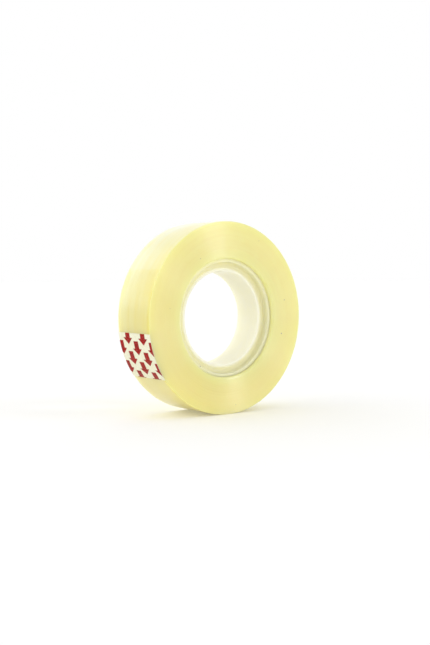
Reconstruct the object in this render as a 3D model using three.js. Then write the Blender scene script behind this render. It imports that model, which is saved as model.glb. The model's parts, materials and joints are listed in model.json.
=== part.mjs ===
// A roll of clear adhesive tape on a moulded plastic core, standing on its rim.
// Millimetres, +Z up. The roll's axis is Y, its centre is the origin, and its front face looks along -Y.
// Angles go round the axis from +X (0 degrees) to +Z (90 degrees), which is also the way the tape is wound.
import * as THREE from "three";

// The wound tape
const TAPE_WIDTH = 15;
const ROLL_RADIUS = 27;
const FILM_THICKNESS = 0.05;
const LAYER_GAP = 0.02;
const CUT_GAP = 0.05;

// The moulded core: an outer hoop that carries the tape, an inner hoop around the bore, and a thick web between,
// whose faces lie a little behind the inner hoop's edges
const HOOP_RADIUS = 16.6;
const HOOP_WALL = 0.9;
const HOOP_WIDTH = 12.6;
const BORE_RADIUS = 13.2;
const INNER_WALL = 0.9;
const INNER_WIDTH = 9.6;
const WEB_THICKNESS = 8.6;
const EDGE_CHAMFER = 0.2;
const CORE_GAP = 0.05;

// The free end of the tape, in degrees round the axis
const LEAD_START = 150;
const END_START = 180;
const RAMP_START = 183.5;
const TAB_START = 187.5;
const FREE_END = 216.2;
const TAB_THICKNESS = 0.06;

// The rim is a polygon with one flat at the very bottom, which the roll stands on
const FACETS = 72;
const FACET_ANGLE = 360 / FACETS;

const FULL_TURN = 360;

const filmMaterial = () => new THREE.MeshStandardMaterial({ color: 0xf0e59b, roughness: 0.28, metalness: 0 });
const coreMaterial = () => new THREE.MeshStandardMaterial({ color: 0xf3f0df, roughness: 0.45, metalness: 0 });
const tabMaterial = () => new THREE.MeshStandardMaterial({ color: 0xecebdc, roughness: 0.55, metalness: 0 });

// A point of the roll's side view at a radius and an angle.
function polar(radius, degrees) {
  const angle = THREE.MathUtils.degToRad(degrees);
  return new THREE.Vector2(radius * Math.cos(angle), radius * Math.sin(angle));
}

// The angles of a stretch of rim: its two ends and every facet corner between them.
function facetAngles(start, end) {
  const angles = [start];
  let corner = (Math.floor(start / FACET_ANGLE - 0.5) + 1.5) * FACET_ANGLE;
  while (corner < end) {
    if (corner > start) {
      angles.push(corner);
    }
    corner += FACET_ANGLE;
  }
  angles.push(end);
  return angles;
}

// The outside radius of the tape's spiral. It grows by one film thickness a turn, up to the free end.
function spiralRadius(degrees) {
  const turnsToFreeEnd = (FREE_END + FULL_TURN - degrees) / FULL_TURN;
  return ROLL_RADIUS - FILM_THICKNESS * turnsToFreeEnd;
}

// How far the film is lifted off the roll by the tab under it.
function tabLift(degrees) {
  const climbed = (degrees - RAMP_START) / (TAB_START - RAMP_START);
  return (TAB_THICKNESS + LAYER_GAP) * THREE.MathUtils.clamp(climbed, 0, 1);
}

// A curved strip between two radii, as a closed outline.
function stripShape(start, end, innerRadius, outerRadius, extraAngles = []) {
  const angles = [...facetAngles(start, end), ...extraAngles].sort((a, b) => a - b);
  const outer = angles.map((angle) => polar(outerRadius(angle), angle));
  const inner = angles.map((angle) => polar(innerRadius(angle), angle)).reverse();
  return new THREE.Shape([...outer, ...inner]);
}

// A side view swept across the tape's width, with its faces at both faces of the roll.
function acrossWidth(name, shape, material) {
  const geometry = new THREE.ExtrudeGeometry(shape, { depth: TAPE_WIDTH, bevelEnabled: false });
  const mesh = new THREE.Mesh(geometry, material);
  mesh.name = name;
  mesh.rotation.x = Math.PI / 2;
  mesh.position.y = TAPE_WIDTH / 2;
  return mesh;
}

// Half of the core's section, from the bore round to the outer hoop, as (radius, place along the axis).
function coreHalfSection() {
  const innerEdge = INNER_WIDTH / 2;
  const hoopEdge = HOOP_WIDTH / 2;
  const webFace = WEB_THICKNESS / 2;
  const innerOutside = BORE_RADIUS + INNER_WALL;
  const hoopInside = HOOP_RADIUS - HOOP_WALL;
  return [
    new THREE.Vector2(BORE_RADIUS, innerEdge - EDGE_CHAMFER),
    new THREE.Vector2(BORE_RADIUS + EDGE_CHAMFER, innerEdge),
    new THREE.Vector2(innerOutside - EDGE_CHAMFER, innerEdge),
    new THREE.Vector2(innerOutside, innerEdge - EDGE_CHAMFER),
    new THREE.Vector2(innerOutside, webFace),
    new THREE.Vector2(hoopInside, webFace),
    new THREE.Vector2(hoopInside, hoopEdge - EDGE_CHAMFER),
    new THREE.Vector2(hoopInside + EDGE_CHAMFER, hoopEdge),
    new THREE.Vector2(HOOP_RADIUS - EDGE_CHAMFER, hoopEdge),
    new THREE.Vector2(HOOP_RADIUS, hoopEdge - EDGE_CHAMFER),
  ];
}

function makeCore() {
  const back = coreHalfSection();
  const front = back.map((point) => new THREE.Vector2(point.x, -point.y)).reverse();
  const section = [...front, ...back, front[0]].reverse();
  const halfFacet = THREE.MathUtils.degToRad(FACET_ANGLE / 2);
  const mesh = new THREE.Mesh(new THREE.LatheGeometry(section, FACETS, halfFacet), coreMaterial());
  mesh.name = "core";
  return mesh;
}

// The tape that stays on the roll: a ring whose rim is one turn of the spiral, with a step where the lead begins.
function makeWinding() {
  const rim = facetAngles(LEAD_START, LEAD_START + FULL_TURN);
  const shape = new THREE.Shape(rim.map((angle) => polar(spiralRadius(angle), angle)));
  const insideRadius = HOOP_RADIUS + CORE_GAP;
  const inside = facetAngles(FACET_ANGLE / 2, FULL_TURN - FACET_ANGLE / 2);
  shape.holes.push(new THREE.Path(inside.map((angle) => polar(insideRadius, angle))));
  return acrossWidth("tape_winding", shape, filmMaterial());
}

// The angle that a length along the rim takes.
function arcAngle(length) {
  return THREE.MathUtils.radToDeg(length / ROLL_RADIUS);
}

// The stretch of film between the roll and the free end, one layer above the winding.
function makeLead() {
  const outer = (angle) => spiralRadius(angle + FULL_TURN) + LAYER_GAP;
  const inner = (angle) => outer(angle) - FILM_THICKNESS;
  const shape = stripShape(LEAD_START + arcAngle(CUT_GAP), END_START - arcAngle(CUT_GAP), inner, outer);
  return acrossWidth("tape_lead", shape, filmMaterial());
}

// The last stretch of film. It climbs onto the tab and ends flush with it.
function makeEnd() {
  const outer = (angle) => spiralRadius(angle + FULL_TURN) + LAYER_GAP + tabLift(angle);
  const inner = (angle) => outer(angle) - FILM_THICKNESS;
  const shape = stripShape(END_START, FREE_END, inner, outer, [RAMP_START]);
  return acrossWidth("tape_end", shape, filmMaterial());
}

// The printed slip between the free end and the roll.
function makeTab() {
  const inner = (angle) => spiralRadius(angle) + LAYER_GAP;
  const outer = (angle) => inner(angle) + TAB_THICKNESS;
  const shape = stripShape(TAB_START + arcAngle(CUT_GAP), FREE_END, inner, outer);
  return acrossWidth("starter_tab", shape, tabMaterial());
}

// The roll carries the lead, and the lead carries the free end with its tab.
const freeEnd = new THREE.Group();
freeEnd.add(makeEnd(), makeTab());

const lead = new THREE.Group();
lead.add(makeLead(), freeEnd);

const roll = new THREE.Group();
roll.add(makeCore(), makeWinding(), lead);

export default roll;
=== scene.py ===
"""A roll of clear adhesive tape on a translucent core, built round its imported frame.

Metres, +Z up. The roll's axis is Y and its centre is the origin. Angles are in degrees round the axis,
from +X (0) to +Z (90), which is the way the tape is wound.
"""
import json
import math
from collections import namedtuple

import bmesh
import bpy
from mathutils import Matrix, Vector, noise


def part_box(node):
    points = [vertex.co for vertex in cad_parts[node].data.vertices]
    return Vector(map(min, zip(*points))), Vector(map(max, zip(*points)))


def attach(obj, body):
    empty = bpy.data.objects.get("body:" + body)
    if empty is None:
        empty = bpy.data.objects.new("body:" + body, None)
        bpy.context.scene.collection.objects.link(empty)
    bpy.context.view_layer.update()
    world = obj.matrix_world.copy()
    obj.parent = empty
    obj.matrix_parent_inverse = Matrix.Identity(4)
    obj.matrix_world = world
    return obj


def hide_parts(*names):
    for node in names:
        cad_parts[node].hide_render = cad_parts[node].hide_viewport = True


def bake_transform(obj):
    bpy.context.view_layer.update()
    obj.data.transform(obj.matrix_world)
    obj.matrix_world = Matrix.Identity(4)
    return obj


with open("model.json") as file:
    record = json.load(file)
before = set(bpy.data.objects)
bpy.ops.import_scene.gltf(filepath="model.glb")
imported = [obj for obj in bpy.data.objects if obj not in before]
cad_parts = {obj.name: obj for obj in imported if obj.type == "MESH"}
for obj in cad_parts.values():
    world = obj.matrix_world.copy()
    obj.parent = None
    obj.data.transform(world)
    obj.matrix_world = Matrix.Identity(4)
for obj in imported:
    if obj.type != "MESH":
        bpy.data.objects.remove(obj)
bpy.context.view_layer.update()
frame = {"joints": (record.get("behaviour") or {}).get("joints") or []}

MM = 0.001
FULL_TURN = 360.0

# The tape. The rim of the frame is a polygon, and the round rim here lies just inside its flats.
FRAME_FACETS = 72
INSIDE_FLATS = math.cos(math.pi / FRAME_FACETS)
ROLL_RADIUS = 27 * MM
FILM_THICKNESS = 0.05 * MM
FREE_END = 216.2
TAB_START = 187.5
RAMP_START = TAB_START - 4
WINDING_BORE = 16.6 * MM
WINDING_FILLET = 0.12 * MM
BORE_FILLET = 0.6 * MM
RIM_MATERIAL_DEPTH = WINDING_FILLET * 0.6
RIM_SEGMENTS = 300
FACE_RINGS = 96
RIM_STEPS = 12
STEP_FADE = 1.5

# How far the turns' edges lie behind the wound faces, in millimetres, and how fast they wander
EDGE_SETBACK = 0.022
FINE_WANDER = 0.016
BROAD_WANDER = 0.02
WANDER_ROUND = 0.35
FINE_PER_MM = 2.6
BROAD_PER_MM = 0.7
FRONT_SEED = 3.0
BACK_SEED = 11.0

# The core's section. A half is a half width, from the roll's middle plane.
HOOP_RADIUS = 16.58 * MM
HOOP_WALL = 0.9 * MM
BORE_RADIUS = 13.2 * MM
INNER_WALL = 0.9 * MM
INNER_HALF = 4.8 * MM
WEB_HALF = 4.3 * MM
EDGE_FILLET = 0.3 * MM
HOOP_FILLET = 0.8 * MM
ROOT_FILLET = 0.7 * MM
SNUG_FILLET = 0.06 * MM
CORE_SEGMENTS = 288

# A fillet is an arc of this many steps, and takes at most this share of an edge
FILLET_STEPS = 4
FILLET_SHARE = 0.49

# The films, as heights over the winding's rim
BOND_GAP = 0.003 * MM
SLIP_LOW = 0.006 * MM
SLIP_HIGH = 0.060 * MM
INK_LOW = 0.063 * MM
INK_HIGH = 0.071 * MM
LIFTED_FILM = 0.080 * MM
FILM_STEP = 0.5
FILM_COLUMNS = 12

# The printed arrows: along the slip from its upper edge, and across it from the front face
ARROW_ROWS = 5
ARROW_PITCH = 6.0 * MM
ROW_PITCH = 3.575 * MM
SHAFT_LENGTH = 2.15 * MM
SHAFT_WIDTH = 2.1 * MM
HEAD_LENGTH = 1.85 * MM
HEAD_WIDTH = 4.2 * MM
FIRST_ROW = 0.05 * MM
EVEN_ROW_START = 2.2 * MM
ODD_ROW_START = -0.8 * MM
INK_SLICE = 0.45 * MM

# Points closer than this are one point
WELD = 1e-4 * MM

# The view: angles in degrees, distance in metres, lens and sensor in millimetres
CAMERA_AZIMUTH = -38.27
CAMERA_ELEVATION = 2.64
CAMERA_DISTANCE = 0.2678
CAMERA_LENS = 52.4
CAMERA_SENSOR = 36
CAMERA_NEAR = 0.01
AIM_RIGHT = 0.8 * MM
AIM_DOWN = 1.5 * MM

# The studio: its floor, how bright it is below and above, and each lamp's direction, spread in degrees and
# strength
FLOOR_REACH = 4.0
FLOOR_WHITE = (0.98, 0.98, 0.98)
LIGHT_BELOW = 1.05
LIGHT_ABOVE = 0.71
SOFT_LIGHTS = {
    "left": ((-0.85, 0.2, 0.5), 40, 0.50),
    "rear_left": ((-0.4, 0.75, 0.5), 50, 0.49),
    "rear_right": ((0.5, 0.7, 0.5), 60, 0.29),
    "front": ((-0.24, -0.86, 0.45), 22, 0.16),
    "front_right": ((0.53, -0.64, 0.52), 12, 0.30),
}

joints = {joint["name"]: joint for joint in frame["joints"]}


def joint_angle(name):
    """The angle round the roll at which a hinge lies."""
    x, _, z = joints[name]["pos_m"]
    return math.degrees(math.atan2(z, x)) % FULL_TURN


LEAD_START = joint_angle("lead_peel")
END_START = joint_angle("tab_lift")
FRONT, BACK = (corner.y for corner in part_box("tape_winding"))
FLOOR_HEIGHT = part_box("tape_winding")[0].z
HOOP_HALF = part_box("core")[1].y
SLIP_LENGTH = math.radians(FREE_END - TAB_START) * ROLL_RADIUS


# ---------------------------------------------------------------- shapes

def on_roll(radius, degrees, y):
    """A point at a radius and an angle round the roll's axis."""
    angle = math.radians(degrees)
    return Vector((radius * math.cos(angle), y, radius * math.sin(angle)))


def spiral_radius(degrees):
    """The tape's outer radius. It grows by one film thickness a turn, up to the free end."""
    turns_left = (FREE_END + FULL_TURN - degrees) / FULL_TURN
    return (ROLL_RADIUS - FILM_THICKNESS * turns_left) * INSIDE_FLATS


def smooth_share(value, start, end):
    """0 before start, 1 after end, and a smooth rise between."""
    share = min(max((value - start) / (end - start), 0.0), 1.0)
    return share * share * (3 - 2 * share)


def winding_radius(degrees):
    """The rim that the lead lies on. The outer turn fades down to it where the lead begins."""
    degrees = LEAD_START + (degrees - LEAD_START) % FULL_TURN
    sunk = smooth_share(degrees, LEAD_START, LEAD_START + STEP_FADE)
    return spiral_radius(degrees) + FILM_THICKNESS * (1 - sunk) * INSIDE_FLATS


def link_object(name, mesh):
    """Puts a mesh into the scene as an object."""
    made = bpy.data.objects.new(name, mesh)
    bpy.context.scene.collection.objects.link(made)
    return made


def shade(mesh, sharp_degrees):
    """Smooth shading, with edges sharper than an angle kept sharp."""
    mesh.shade_smooth()
    mesh.set_sharp_from_angle(angle=math.radians(sharp_degrees))


def mesh_object(name, built, sharp_degrees=40):
    """Turns a bmesh into an object whose faces point out."""
    bmesh.ops.recalc_face_normals(built, faces=built.faces)
    mesh = bpy.data.meshes.new(name)
    built.to_mesh(mesh)
    built.free()
    shade(mesh, sharp_degrees)
    return link_object(name, mesh)


def revolve(name, section_at, segments, sharp_degrees=40):
    """A closed ring. section_at(degrees) gives the (radius, y) points of its section at an angle."""
    built = bmesh.new()
    rings = []
    for index in range(segments):
        degrees = LEAD_START + FULL_TURN * index / segments
        rings.append([built.verts.new(on_roll(r, degrees, y)) for r, y in section_at(degrees)])
    for index, ring in enumerate(rings):
        following = rings[(index + 1) % segments]
        for corner in range(len(ring)):
            after = (corner + 1) % len(ring)
            built.faces.new((ring[corner], following[corner], following[after], ring[after]))
    return mesh_object(name, built, sharp_degrees)


def filleted(corners):
    """A closed outline. Each corner is a (radius, y, fillet) and is rounded off by an arc."""
    outline = []
    places = [corner[:2] for corner in corners]
    for index, (*place, fillet) in enumerate(corners):
        here = Vector(place)
        before = Vector(places[index - 1]) - here
        after = Vector(places[(index + 1) % len(places)]) - here
        cut = min(fillet, before.length * FILLET_SHARE, after.length * FILLET_SHARE)
        start = here + before.normalized() * cut
        end = here + after.normalized() * cut
        for step in range(FILLET_STEPS + 1):
            share = step / FILLET_STEPS
            point = start.lerp(here, share).lerp(here.lerp(end, share), share)
            outline.append((point.x, point.y))
    return outline


# ---------------------------------------------------------------- the core

def core_section():
    """The core's section: an outer hoop, an inner hoop round the bore and a thick web between them."""
    inner_outside = BORE_RADIUS + INNER_WALL
    hoop_inside = HOOP_RADIUS - HOOP_WALL
    back = [
        (BORE_RADIUS, INNER_HALF, EDGE_FILLET),
        (inner_outside, INNER_HALF, EDGE_FILLET),
        (inner_outside, WEB_HALF, EDGE_FILLET),
        (hoop_inside, WEB_HALF, ROOT_FILLET),
        (hoop_inside, HOOP_HALF, HOOP_FILLET),
        (HOOP_RADIUS, HOOP_HALF, SNUG_FILLET),
    ]
    front = [(radius, -y, fillet) for radius, y, fillet in reversed(back)]
    return filleted(back + front)


def make_core():
    """The moulded core, the same all the way round."""
    section = core_section()
    return revolve("core_moulding", lambda degrees: section, CORE_SEGMENTS)


# ---------------------------------------------------------------- the wound tape

def turn_edge(radius, degrees, seed):
    """How far the edge of a turn lies behind the wound face. Turns wander a little from side to side."""
    angle = math.radians(degrees)
    around = Vector((math.cos(angle), math.sin(angle), 0)) * WANDER_ROUND
    in_mm = radius / MM
    fine = noise.noise(Vector((around.x, around.y, in_mm * FINE_PER_MM + seed)))
    broad = noise.noise(Vector((around.x * 2, around.y * 2, in_mm * BROAD_PER_MM + seed * 2)))
    return max(EDGE_SETBACK + FINE_WANDER * fine + BROAD_WANDER * broad, 0.0) * MM


def arc_inset(fillet):
    """How far the middle of a rounded corner lies in from the corner's two sides."""
    return fillet * (1 - math.sqrt(0.5))


def winding_section(degrees):
    """The winding's section at an angle: both ridged faces, the rim and the bore."""
    rim = winding_radius(degrees)
    fillet = WINDING_FILLET
    corner = arc_inset(fillet)
    inside_corner = arc_inset(BORE_FILLET)
    inner, outer = WINDING_BORE + BORE_FILLET, rim - fillet
    radii = [inner + (outer - inner) * ring / FACE_RINGS for ring in range(FACE_RINGS + 1)]
    front = [(radius, FRONT + turn_edge(radius, degrees, FRONT_SEED)) for radius in radii]
    back = [(radius, BACK - turn_edge(radius, degrees, BACK_SEED)) for radius in reversed(radii)]
    low, high = front[-1][1] + fillet, back[0][1] - fillet
    rim_line = [(rim, low + (high - low) * step / RIM_STEPS) for step in range(RIM_STEPS + 1)]
    front_corner = [(rim - corner, low - fillet + corner)]
    back_corner = [(rim - corner, high + fillet - corner)]
    bore_line = [
        (WINDING_BORE + inside_corner, back[-1][1] - inside_corner),
        (WINDING_BORE, back[-1][1] - BORE_FILLET),
        (WINDING_BORE, front[0][1] + BORE_FILLET),
        (WINDING_BORE + inside_corner, front[0][1] + inside_corner),
    ]
    return front + front_corner + rim_line + back_corner + back + bore_line


def make_winding():
    """The wound tape. Its second material is the rim's, on the faces that lie out near the rim."""
    winding = revolve("wound_tape", winding_section, RIM_SEGMENTS, sharp_degrees=60)
    for face in winding.data.polygons:
        x, _, z = face.center
        rim = winding_radius(math.degrees(math.atan2(z, x)))
        on_rim = math.hypot(x, z) > rim - RIM_MATERIAL_DEPTH
        face.material_index = 1 if on_rim else 0
    return winding


# ---------------------------------------------------------------- the free end: films, slip and print

def film_lift(degrees):
    """How far the film's inner side stands over the rim."""
    return BOND_GAP + (LIFTED_FILM - BOND_GAP) * smooth_share(degrees, RAMP_START, TAB_START)


def film_low(degrees):
    """The film's inner side."""
    return winding_radius(degrees) + film_lift(degrees)


def film_high(degrees):
    """The film's outer side: flush with the turn that it continues, and one thickness up from there on."""
    flush = spiral_radius(degrees + FULL_TURN) + BOND_GAP
    return flush + film_lift(degrees) - BOND_GAP


def strip(name, start, end, low, high):
    """A thin curved solid as wide as the tape, with its place along and across stored for the material.

    It runs between two angles. Where its two sides meet in a line, as at the root of the lead, that end has
    no face.
    """
    built = bmesh.new()
    place = built.verts.layers.float_vector.new("strip_place")
    count = max(2, round((end - start) / FILM_STEP))
    rows = []
    for step in range(count + 1):
        degrees = start + (end - start) * step / count
        row = []
        for side in (low, high):
            for column in range(FILM_COLUMNS + 1):
                y = FRONT + (BACK - FRONT) * column / FILM_COLUMNS
                vert = built.verts.new(on_roll(side(degrees), degrees, y))
                vert[place] = (math.radians(degrees - LEAD_START) * ROLL_RADIUS, y, side(degrees))
                row.append(vert)
        rows.append(row)
    loop = list(range(FILM_COLUMNS + 1)) + list(range(2 * FILM_COLUMNS + 1, FILM_COLUMNS, -1))
    for row, following in zip(rows, rows[1:]):
        for corner, index in enumerate(loop):
            after = loop[(corner + 1) % len(loop)]
            built.faces.new((row[index], row[after], following[after], following[index]))
    for row in (rows[0], rows[-1]):
        for column in range(FILM_COLUMNS):
            above = FILM_COLUMNS + 1 + column
            built.faces.new((row[column], row[column + 1], row[above + 1], row[above]))
    bmesh.ops.remove_doubles(built, verts=built.verts, dist=WELD)
    return mesh_object(name, built)


def make_lead():
    """The film between the two hinges."""
    return strip("film_lead", LEAD_START, END_START, film_low, film_high)


def make_end():
    """The film over the slip, up to its free end."""
    return strip("film_end", END_START, FREE_END, film_low, film_high)


def make_slip():
    """The starter slip, between the film's end and the roll."""
    def low(degrees):
        """The slip's inner side."""
        return winding_radius(degrees) + SLIP_LOW

    def high(degrees):
        """The slip's outer side."""
        return winding_radius(degrees) + SLIP_HIGH

    return strip("starter_slip", TAB_START, FREE_END, low, high)


def clip_outline(outline, side, limit, keep_above):
    """Cuts a convex outline of (along, across) points at a limit on one of its two coordinates."""
    kept = []
    for here, following in zip(outline, outline[1:] + outline[:1]):
        here_in = (here[side] >= limit) == keep_above
        following_in = (following[side] >= limit) == keep_above
        if here_in:
            kept.append(here)
        if here_in != following_in:
            share = (limit - here[side]) / (following[side] - here[side])
            kept.append(tuple(a + (b - a) * share for a, b in zip(here, following)))
    return kept


def clip_to_slip(outline):
    """What of an outline lies on the slip."""
    for side, length in enumerate((SLIP_LENGTH, BACK - FRONT)):
        outline = clip_outline(outline, side, 0.0, True)
        outline = clip_outline(outline, side, length, False)
    return outline


def arrow_outlines(along, across):
    """The two convex outlines of an arrow whose tail is at along and whose middle is at across."""
    neck = along + SHAFT_LENGTH
    shaft = [
        (along, across - SHAFT_WIDTH / 2),
        (along, across + SHAFT_WIDTH / 2),
        (neck, across + SHAFT_WIDTH / 2),
        (neck, across - SHAFT_WIDTH / 2),
    ]
    head = [
        (neck, across - HEAD_WIDTH / 2),
        (neck, across - SHAFT_WIDTH / 2),
        (neck, across + SHAFT_WIDTH / 2),
        (neck, across + HEAD_WIDTH / 2),
        (neck + HEAD_LENGTH, across),
    ]
    return shaft, head


def ink_corner(built, known, along, across, height):
    """The vertex at a place in the ink, made once however many slices meet there."""
    key = (round(along / WELD), round(across / WELD), height)
    if key not in known:
        degrees = TAB_START + math.degrees(along / ROLL_RADIUS)
        known[key] = built.verts.new(on_roll(winding_radius(degrees) + height, degrees, FRONT + across))
    return known[key]


def add_ink(built, known, outline):
    """One slice of ink that follows the rim. The wall that two slices would share is left out of both."""
    lower, upper = (
        [ink_corner(built, known, along, across, height) for along, across in outline]
        for height in (INK_LOW, INK_HIGH)
    )
    built.faces.new(lower)
    built.faces.new(list(reversed(upper)))
    for index in range(len(outline)):
        after = (index + 1) % len(outline)
        wall = (lower[index], upper[index], upper[after], lower[after])
        shared = built.faces.get(wall)
        if shared:
            built.faces.remove(shared)
        else:
            built.faces.new(wall)


def add_sliced_ink(built, known, outline):
    """Cuts an outline across the slip's length, so that the ink bends with the rim."""
    if not outline:
        return
    first = min(along for along, _ in outline)
    last = max(along for along, _ in outline)
    count = max(1, math.ceil((last - first) / INK_SLICE))
    for index in range(count):
        start = first + (last - first) * index / count
        end = first + (last - first) * (index + 1) / count
        piece = outline if index == 0 else clip_outline(outline, 0, start, True)
        piece = piece if index == count - 1 else clip_outline(piece, 0, end, False)
        if len(piece) >= 3:
            add_ink(built, known, piece)


def make_print():
    """The printed arrows. Neighbouring rows are half a pitch apart, and the slip's edges cut them off."""
    built = bmesh.new()
    known = {}
    for row in range(ARROW_ROWS):
        across = FIRST_ROW + ROW_PITCH * row
        tail = ODD_ROW_START if row % 2 else EVEN_ROW_START
        while tail < SLIP_LENGTH:
            for outline in arrow_outlines(tail, across):
                add_sliced_ink(built, known, clip_to_slip(outline))
            tail += ARROW_PITCH
    return mesh_object("arrow_print", built)


# ---------------------------------------------------------------- materials

# The wound tape's colours, and how light scatters in it and passes through it
DEEP_YELLOW = (0.865, 0.745, 0.075)
PALE_YELLOW = (0.93, 0.865, 0.20)
# Painted shade: the deeper, warmer yellow of the lower left side
SHADED_YELLOW = (0.87, 0.71, 0.03)
# Painted light: the paler yellow of the face near the core
CORE_GLOW_YELLOW = (0.925, 0.86, 0.165)
DEEP_RIM = (0.76, 0.69, 0.22)
PALE_RIM = (0.79, 0.79, 0.50)
# Painted shade: the rim's deeper, warmer yellow on the lower left side
SHADED_RIM = (0.73, 0.615, 0.12)
SCATTER_TINT = (1.0, 0.95, 0.6)
SCATTER_DEPTH = 5 * MM
LAMP_TINT = (0.97, 0.955, 0.90)

# Painted shade: the lower left side is painted a deeper, warmer yellow. The side that it is on, and from
# how near that side the painted shade sets in: 1 is on it, 0 a quarter turn away and -1 opposite
SHADED_SIDE = 240
FACE_SHADE_FROM = -0.4
FACE_PAINTED_SHADE = 0.5
RIM_SHADE_FROM = 0.2
RIM_PAINTED_SHADE = 0.7

# Painted light: the face is paler towards the core, between these radii in millimetres, for a glow that
# comes through the core and lightens the shade in the bore's corner. Painted backlight: the rim is paler
# towards its back edge, by this much of its tone a millimetre.
NEAR_CORE = (16.6, 19.5)
CORE_GLOW_PALENESS = 0.9
RIM_BACKLIGHT_PALING = 0.03

# The core's plastic, and the radii in millimetres over which the tape's yellow comes into it, as painted
# light
INNER_MILK = (0.865, 0.85, 0.73)
# Painted light: the tape's yellow shining through the plastic
TAPE_LIT_MILK = (0.92, 0.87, 0.49)
TAPE_LIGHT_SPAN = (13.3, 16.6)
MILK_MOTTLE = 0.25
MILK_SCATTER_TINT = (1.0, 1.0, 0.9)
MILK_SCATTER_DEPTH = 2.5 * MM

# The clear film: its gloss runs between two tones, and its shine is weaker than a lone film's, because the
# adhesive joins it to the turn below
FILM_TONES = ((0.97, 0.95, 0.86), (1.0, 1.0, 0.96))
FILM_TINT = (0.99, 0.985, 0.955)
FILM_SHINE_IOR = 1.16

# Painted light: the slip's white is warmed all over by the roll's yellow showing through it
SLIP_TONES = ((0.83, 0.83, 0.70), (0.88, 0.88, 0.78))
SLIP_TINT = (0.9, 0.88, 0.75)
INK_TONES = ((0.28, 0.002, 0.002), (0.40, 0.004, 0.003))
INK_GRAIN = 0.9
PLASTIC_IOR = 1.5

# The range that most of one noise covers, the range of two added together, and those that set the contrast
ONE_NOISE = (0.3, 0.7)
TWO_NOISES = (0.7, 1.3)
FACE_TONE_RANGE = (0.45, 0.85)
RIM_TONE_RANGE = (0.6, 1.4)
SLIP_TONE_RANGE = (0.35, 0.65)
FULL_SHARE = (0.0, 1.0)

FACE_ROUGHNESS = (0.42, 0.58)
RIM_ROUGHNESS = (0.34, 0.4)
MILK_ROUGHNESS = (0.42, 0.56)
FILM_ROUGHNESS = (0.06, 0.16)
SLIP_ROUGHNESS = (0.45, 0.6)
INK_ROUGHNESS = (0.35, 0.5)

FACE_BUMP = 0.018 * MM
RIM_BUMP = 0.002 * MM
MILK_BUMP = 0.015 * MM
FILM_BUMP = 0.03 * MM
SLIP_BUMP = 0.01 * MM
INK_BUMP = 0.004 * MM

# Dust caught between turns and on the core: angle, radius in millimetres, size in millimetres
SPECK_COLOUR = (0.25, 0.21, 0.12)
TAPE_SPECKS = [
    (12.8, 21.5, 0.2),
    (-14.2, 20.5, 0.26),
    (63, 24.4, 0.14),
    (-84, 24.6, 0.14),
    (121, 19.2, 0.16),
    (171, 20.4, 0.12),
]
CORE_SPECKS = [(-124.8, 15.75, 0.3)]

# The sockets of a colour Mix node: share, first colour, second colour, and the result
MIX_SHARE, MIX_FIRST, MIX_SECOND = 0, 6, 7
MIX_RESULT = 2

# A place on the roll, as sockets: its radius and its place from side to side, in millimetres, and its
# direction round the axis
Polar = namedtuple("Polar", "radius side toward_x toward_z")


def add_node(tree, kind, inputs=None, **settings):
    """Makes a node, sets its properties, and fills its inputs with values or with other nodes' sockets."""
    made = tree.nodes.new(kind)
    for name, value in settings.items():
        setattr(made, name, value)
    for key, value in (inputs or {}).items():
        if isinstance(value, bpy.types.NodeSocket):
            tree.links.new(value, made.inputs[key])
        else:
            made.inputs[key].default_value = value
    return made


def calculate(tree, operation, *values):
    """The result of a Math node."""
    return add_node(tree, "ShaderNodeMath", dict(enumerate(values)), operation=operation).outputs[0]


def remap(tree, value, low, high, new_low, new_high):
    """Stretches one range of a value over another, and holds it at the ends."""
    inputs = {"Value": value, "From Min": low, "From Max": high, "To Min": new_low, "To Max": new_high}
    return add_node(tree, "ShaderNodeMapRange", inputs).outputs["Result"]


def mix_colours(tree, share, first, second):
    """A colour between two others. The share is a socket, and a colour is a socket or three numbers."""
    made = add_node(tree, "ShaderNodeMix", data_type="RGBA")
    for index, value in ((MIX_SHARE, share), (MIX_FIRST, first), (MIX_SECOND, second)):
        if isinstance(value, bpy.types.NodeSocket):
            tree.links.new(value, made.inputs[index])
        else:
            made.inputs[index].default_value = (*value, 1)
    return made.outputs[MIX_RESULT]


def noise_value(tree, vector, scale, detail=2.0):
    """Smooth noise, from 0 to 1 and mostly near 0.5."""
    inputs = {"Vector": vector, "Scale": scale, "Detail": detail}
    return add_node(tree, "ShaderNodeTexNoise", inputs).outputs["Fac"]


def new_material(name, **plain):
    """A material with one Principled shader, whose plain sockets are set by name."""
    material = bpy.data.materials.new(name)
    material.use_nodes = True
    tree = material.node_tree
    shader = tree.nodes["Principled BSDF"]
    for socket, value in plain.items():
        shader.inputs[socket.replace("_", " ")].default_value = value
    return material, tree, shader


def set_colour(tree, shader, colour):
    """Gives the shader a colour that varies over the surface."""
    tree.links.new(colour, shader.inputs["Base Color"])


def set_roughness(tree, shader, value, value_range, roughness_range):
    """Roughness that follows a noise."""
    tree.links.new(remap(tree, value, *value_range, *roughness_range), shader.inputs["Roughness"])


def set_surface(tree, mixed):
    """Makes a mix of shaders the material's surface."""
    tree.links.new(mixed.outputs[0], tree.nodes["Material Output"].inputs["Surface"])


def add_bump(tree, shader, height, distance):
    """Relief of a given depth."""
    bump = add_node(tree, "ShaderNodeBump", {"Height": height, "Distance": distance, "Strength": 1.0})
    tree.links.new(bump.outputs["Normal"], shader.inputs["Normal"])


def polar_place(tree):
    """The place on the roll, from the shape itself."""
    place = add_node(tree, "ShaderNodeTexCoord").outputs["Object"]
    parts = add_node(tree, "ShaderNodeSeparateXYZ", {"Vector": place})
    x, y, z = parts.outputs
    squares = calculate(tree, "ADD", calculate(tree, "MULTIPLY", x, x), calculate(tree, "MULTIPLY", z, z))
    radius = calculate(tree, "SQRT", squares)
    return Polar(
        radius=calculate(tree, "DIVIDE", radius, MM),
        side=calculate(tree, "DIVIDE", y, MM),
        toward_x=calculate(tree, "DIVIDE", x, radius),
        toward_z=calculate(tree, "DIVIDE", z, radius),
    )


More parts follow.
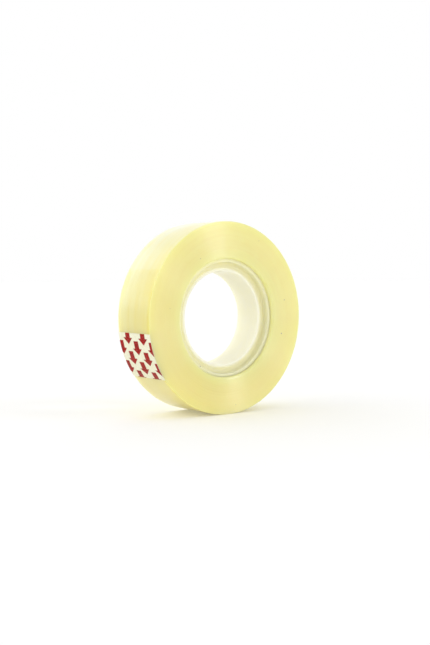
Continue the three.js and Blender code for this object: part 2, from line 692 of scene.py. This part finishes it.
def polar_noise(tree, polar, per_mm, around, detail=2.0, side_per_mm=0.0, shift=0.0):
    """Noise drawn out round the axis: per_mm is its scale along the radius and around its scale round it.

    side_per_mm is its scale from side to side, and shift picks another stretch of the noise.
    """
    depth = calculate(tree, "MULTIPLY_ADD", polar.radius, per_mm, shift)
    if side_per_mm:
        depth = calculate(tree, "MULTIPLY_ADD", polar.side, side_per_mm, depth)
    inputs = {
        "X": calculate(tree, "MULTIPLY", polar.toward_x, around),
        "Y": depth,
        "Z": calculate(tree, "MULTIPLY", polar.toward_z, around),
    }
    vector = add_node(tree, "ShaderNodeCombineXYZ", inputs).outputs["Vector"]
    return noise_value(tree, vector, 1.0, detail)


def weighted_sum(tree, first, *others):
    """Adds up (noise, weight) pairs."""
    total = calculate(tree, "MULTIPLY", *first)
    for value, weight in others:
        total = calculate(tree, "MULTIPLY_ADD", value, weight, total)
    return total


def painted_shade_share(tree, polar, starts, most):
    """How far painted shade deepens and warms the colour: 0 on the pale side, and most on the shaded one.
    """
    warm = on_roll(1.0, SHADED_SIDE, 0)
    facing = calculate(
        tree, "ADD",
        calculate(tree, "MULTIPLY", polar.toward_x, warm.x),
        calculate(tree, "MULTIPLY", polar.toward_z, warm.z),
    )
    return remap(tree, facing, starts, 1.0, 0.0, most)


def speck_mask(tree, specks, y):
    """1 on a speck and 0 elsewhere."""
    place = add_node(tree, "ShaderNodeTexCoord").outputs["Object"]
    mask = None
    for degrees, radius, size in specks:
        spot = on_roll(radius * MM, degrees, y)
        gap = add_node(tree, "ShaderNodeVectorMath", {0: place, 1: spot}, operation="DISTANCE")
        near = remap(tree, gap.outputs["Value"], size * MM * 0.5, size * MM, 1.0, 0.0)
        mask = near if mask is None else calculate(tree, "MAXIMUM", mask, near)
    return mask


def let_lamps_through(tree, shader, tint):
    """Lets the lamps' light through, tinted once for each surface it meets, so that the shadow is pale."""
    for_lamps = add_node(tree, "ShaderNodeLightPath").outputs["Is Shadow Ray"]
    through = add_node(tree, "ShaderNodeBsdfTransparent", {"Color": (*tint, 1)})
    set_surface(tree, add_node(tree, "ShaderNodeMixShader", {
        0: for_lamps,
        1: shader.outputs["BSDF"],
        2: through.outputs["BSDF"],
    }))


def wound_face_material():
    """The edges of all the turns: fine rings, broad fans across them, and a satin gloss.

    The gloss is strong and spread across the rings, so that a lamp shows as a fan from the core to the rim.
    """
    material, tree, shader = new_material(
        "wound_face", Subsurface_Weight=1.0, Subsurface_Radius=SCATTER_TINT, Subsurface_Scale=SCATTER_DEPTH,
        Specular_IOR_Level=1.0, Anisotropic=0.95, Anisotropic_Rotation=0.25, IOR=2.5)
    polar = polar_place(tree)
    fine = polar_noise(tree, polar, per_mm=9.0, around=0.8, detail=3.0)
    broad = polar_noise(tree, polar, per_mm=0.9, around=0.5, shift=7.0)
    fans = polar_noise(tree, polar, per_mm=0.05, around=2.2, shift=3.0)
    clouds = polar_noise(tree, polar, per_mm=0.4, around=6.0, shift=19.0)
    tone = weighted_sum(tree, (broad, 0.3), (fine, 0.45), (fans, 0.3), (clouds, 0.25))
    colour = mix_colours(tree, remap(tree, tone, *FACE_TONE_RANGE, *FULL_SHARE), DEEP_YELLOW, PALE_YELLOW)
    # Painted shade: a deeper, warmer yellow on the lower left side
    shaded_share = painted_shade_share(tree, polar, FACE_SHADE_FROM, FACE_PAINTED_SHADE)
    colour = mix_colours(tree, shaded_share, colour, SHADED_YELLOW)
    # Painted light: paler near the core, for a glow through it that also lightens the bore's corner
    core_glow = remap(tree, polar.radius, *NEAR_CORE, CORE_GLOW_PALENESS, 0.0)
    colour = mix_colours(tree, core_glow, colour, CORE_GLOW_YELLOW)
    specks = speck_mask(tree, TAPE_SPECKS, FRONT)
    set_colour(tree, shader, mix_colours(tree, specks, colour, SPECK_COLOUR))
    set_roughness(tree, shader, calculate(tree, "ADD", fine, fans), TWO_NOISES, FACE_ROUGHNESS)
    add_bump(tree, shader, fine, FACE_BUMP)
    around = add_node(tree, "ShaderNodeTangent", direction_type="RADIAL", axis="Y")
    tree.links.new(around.outputs["Tangent"], shader.inputs["Tangent"])
    let_lamps_through(tree, shader, LAMP_TINT)
    return material


def rim_material():
    """The outer turn seen flat on: glossy film over the yellow of the turns below, with painted backlight
    at the back.
    """
    material, tree, shader = new_material(
        "film_rim", Subsurface_Weight=1.0, Subsurface_Radius=SCATTER_TINT, Subsurface_Scale=SCATTER_DEPTH,
        Coat_Weight=1.0, Coat_Roughness=0.28, IOR=PLASTIC_IOR)
    polar = polar_place(tree)
    streaks = polar_noise(tree, polar, per_mm=0.0, around=1.2, side_per_mm=0.6, detail=3.0)
    broad = polar_noise(tree, polar, per_mm=0.0, around=2.5, side_per_mm=0.15, shift=5.0)
    tone = calculate(tree, "ADD", streaks, broad)
    # Painted backlight: the rim turns paler towards its back edge
    tone = calculate(tree, "MULTIPLY_ADD", polar.side, RIM_BACKLIGHT_PALING, tone)
    colour = mix_colours(tree, remap(tree, tone, *RIM_TONE_RANGE, *FULL_SHARE), DEEP_RIM, PALE_RIM)
    # Painted shade: a deeper, warmer yellow on the lower left side
    shaded_share = painted_shade_share(tree, polar, RIM_SHADE_FROM, RIM_PAINTED_SHADE)
    set_colour(tree, shader, mix_colours(tree, shaded_share, colour, SHADED_RIM))
    set_roughness(tree, shader, streaks, ONE_NOISE, RIM_ROUGHNESS)
    add_bump(tree, shader, broad, RIM_BUMP)
    let_lamps_through(tree, shader, LAMP_TINT)
    return material


def core_material():
    """Milky moulded plastic, with painted light: the tape's yellow shows through it towards the outer hoop.
    """
    material, tree, shader = new_material(
        "milky_plastic", Subsurface_Weight=1.0, Subsurface_Radius=MILK_SCATTER_TINT,
        Subsurface_Scale=MILK_SCATTER_DEPTH, IOR=PLASTIC_IOR)
    polar = polar_place(tree)
    mottle = polar_noise(tree, polar, per_mm=1.2, around=5.0, side_per_mm=0.8, detail=3.0)
    flow = polar_noise(tree, polar, per_mm=0.2, around=2.0, side_per_mm=0.15, shift=9.0)
    # Painted light: the tape's yellow, shining through, grows towards the outer hoop
    tape_light = remap(tree, polar.radius, *TAPE_LIGHT_SPAN, *FULL_SHARE)
    share = calculate(tree, "MULTIPLY_ADD", mottle, MILK_MOTTLE, tape_light)
    colour = mix_colours(tree, share, INNER_MILK, TAPE_LIT_MILK)
    specks = speck_mask(tree, CORE_SPECKS, -HOOP_HALF)
    set_colour(tree, shader, mix_colours(tree, specks, colour, SPECK_COLOUR))
    set_roughness(tree, shader, calculate(tree, "ADD", mottle, flow), TWO_NOISES, MILK_ROUGHNESS)
    add_bump(tree, shader, mottle, MILK_BUMP)
    return material


def strip_noise(tree, along_per_mm, across_per_mm, detail=2.0, shift=0.0):
    """Noise that stays on a strip as it bends."""
    place = add_node(tree, "ShaderNodeAttribute", attribute_name="strip_place").outputs["Vector"]
    scaled = add_node(tree, "ShaderNodeMapping", {
        "Vector": place,
        "Location": (shift, shift, shift),
        "Scale": (along_per_mm / MM, across_per_mm / MM, 0.0),
    }).outputs["Vector"]
    return noise_value(tree, scaled, 1.0, detail)


def film_material():
    """One layer of clear film: nearly colourless, seen through head on and glossy at a slant."""
    material, tree, shader = new_material("clear_film", Metallic=1.0)
    streaks = strip_noise(tree, along_per_mm=0.08, across_per_mm=1.6, detail=3.0)
    ripples = strip_noise(tree, along_per_mm=0.35, across_per_mm=0.3, shift=4.0)
    set_colour(tree, shader, mix_colours(tree, streaks, *FILM_TONES))
    set_roughness(tree, shader, streaks, ONE_NOISE, FILM_ROUGHNESS)
    add_bump(tree, shader, ripples, FILM_BUMP)
    clear = add_node(tree, "ShaderNodeBsdfTransparent", {"Color": (*FILM_TINT, 1)})
    shine = add_node(tree, "ShaderNodeFresnel", {"IOR": FILM_SHINE_IOR}).outputs["Fac"]
    inner_side = add_node(tree, "ShaderNodeNewGeometry").outputs["Backfacing"]
    shine = calculate(tree, "MULTIPLY", shine, calculate(tree, "SUBTRACT", 1.0, inner_side))
    set_surface(tree, add_node(tree, "ShaderNodeMixShader", {
        0: shine,
        1: clear.outputs["BSDF"],
        2: shader.outputs["BSDF"],
    }))
    return material


def slip_material():
    """The slip's white film, painted a little warm all over for the roll's yellow showing through it."""
    material, tree, shader = new_material("white_slip", IOR=PLASTIC_IOR, Specular_IOR_Level=0.15)
    mottle = strip_noise(tree, along_per_mm=0.9, across_per_mm=0.9, detail=4.0)
    share = remap(tree, mottle, *SLIP_TONE_RANGE, *FULL_SHARE)
    set_colour(tree, shader, mix_colours(tree, share, *SLIP_TONES))
    set_roughness(tree, shader, mottle, ONE_NOISE, SLIP_ROUGHNESS)
    add_bump(tree, shader, mottle, SLIP_BUMP)
    let_lamps_through(tree, shader, SLIP_TINT)
    return material


def ink_material():
    """Red printing ink, a little uneven."""
    material, tree, shader = new_material("red_ink", IOR=PLASTIC_IOR, Specular_IOR_Level=0.04)
    place = add_node(tree, "ShaderNodeTexCoord").outputs["Object"]
    density = noise_value(tree, place, INK_GRAIN / MM, detail=4.0)
    share = remap(tree, density, *ONE_NOISE, *FULL_SHARE)
    set_colour(tree, shader, mix_colours(tree, share, *INK_TONES))
    set_roughness(tree, shader, density, ONE_NOISE, INK_ROUGHNESS)
    add_bump(tree, shader, density, INK_BUMP)
    return material


# ---------------------------------------------------------------- floor, light and camera

def make_floor():
    """A wide, matt, nearly white floor at the height of the roll's lowest flat."""
    built = bmesh.new()
    bmesh.ops.create_grid(built, x_segments=1, y_segments=1, size=FLOOR_REACH)
    floor = mesh_object("floor", built)
    floor.location.z = FLOOR_HEIGHT
    material, _, _ = new_material(
        "pale_floor", Base_Color=(*FLOOR_WHITE, 1), Roughness=0.9, Specular_IOR_Level=0.1)
    floor.data.materials.append(material)


def make_world():
    """A white studio, brighter towards its floor. The camera sees its backdrop as plain white."""
    world = bpy.data.worlds.new("studio")
    world.use_nodes = True
    tree = world.node_tree
    direction = add_node(tree, "ShaderNodeTexCoord").outputs["Generated"]
    upwards = add_node(tree, "ShaderNodeSeparateXYZ", {"Vector": direction}).outputs["Z"]
    lit = remap(tree, upwards, -1.0, 1.0, LIGHT_BELOW, LIGHT_ABOVE)
    seen = add_node(tree, "ShaderNodeLightPath").outputs["Is Camera Ray"]
    background = tree.nodes["Background"]
    background.inputs["Color"].default_value = (1, 1, 1, 1)
    tree.links.new(calculate(tree, "MAXIMUM", seen, lit), background.inputs["Strength"])
    bpy.context.scene.world = world


def add_soft_light(name, direction, spread, strength):
    """A wide lamp, as far away as a studio wall. direction is where it shines from."""
    lamp = bpy.data.lights.new(name, "SUN")
    lamp.angle = math.radians(spread)
    lamp.energy = strength
    holder = bpy.data.objects.new(name, lamp)
    holder.rotation_euler = (-Vector(direction)).to_track_quat("-Z", "Y").to_euler()
    bpy.context.scene.collection.objects.link(holder)


def make_camera():
    """A camera aimed a little beside the roll's centre, at the given angles round it."""
    azimuth = math.radians(CAMERA_AZIMUTH)
    elevation = math.radians(CAMERA_ELEVATION)
    back = Vector((
        math.sin(azimuth) * math.cos(elevation),
        -math.cos(azimuth) * math.cos(elevation),
        math.sin(elevation),
    ))
    facing = (-back).to_track_quat("-Z", "Y")
    right, up = facing @ Vector((1, 0, 0)), facing @ Vector((0, 1, 0))
    camera = bpy.data.cameras.new("camera")
    camera.sensor_width = CAMERA_SENSOR
    camera.lens = CAMERA_LENS
    camera.clip_start = CAMERA_NEAR
    holder = bpy.data.objects.new("camera", camera)
    holder.location = back * CAMERA_DISTANCE
    aim = right * AIM_RIGHT - up * AIM_DOWN
    holder.rotation_euler = (aim - holder.location).to_track_quat("-Z", "Y").to_euler()
    bpy.context.scene.collection.objects.link(holder)
    bpy.context.scene.camera = holder


# ---------------------------------------------------------------- putting it together

core = make_core()
core.data.materials.append(core_material())
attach(core, "roll")
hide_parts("core")

winding = make_winding()
winding.data.materials.append(wound_face_material())
winding.data.materials.append(rim_material())
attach(winding, "roll")
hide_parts("tape_winding")

film = film_material()
lead = make_lead()
lead.data.materials.append(film)
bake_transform(lead)
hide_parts("tape_lead")

end = make_end()
end.data.materials.append(film)
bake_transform(end)
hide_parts("tape_end")

slip = make_slip()
slip.data.materials.append(slip_material())
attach(slip, "tab")
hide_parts("starter_tab")

arrows = make_print()
arrows.data.materials.append(ink_material())
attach(arrows, "tab")

make_floor()
make_world()
for lamp_name, (shines_from, spread, strength) in SOFT_LIGHTS.items():
    add_soft_light(lamp_name, shines_from, spread, strength)
make_camera()
bpy.context.scene.view_settings.view_transform = "Standard"
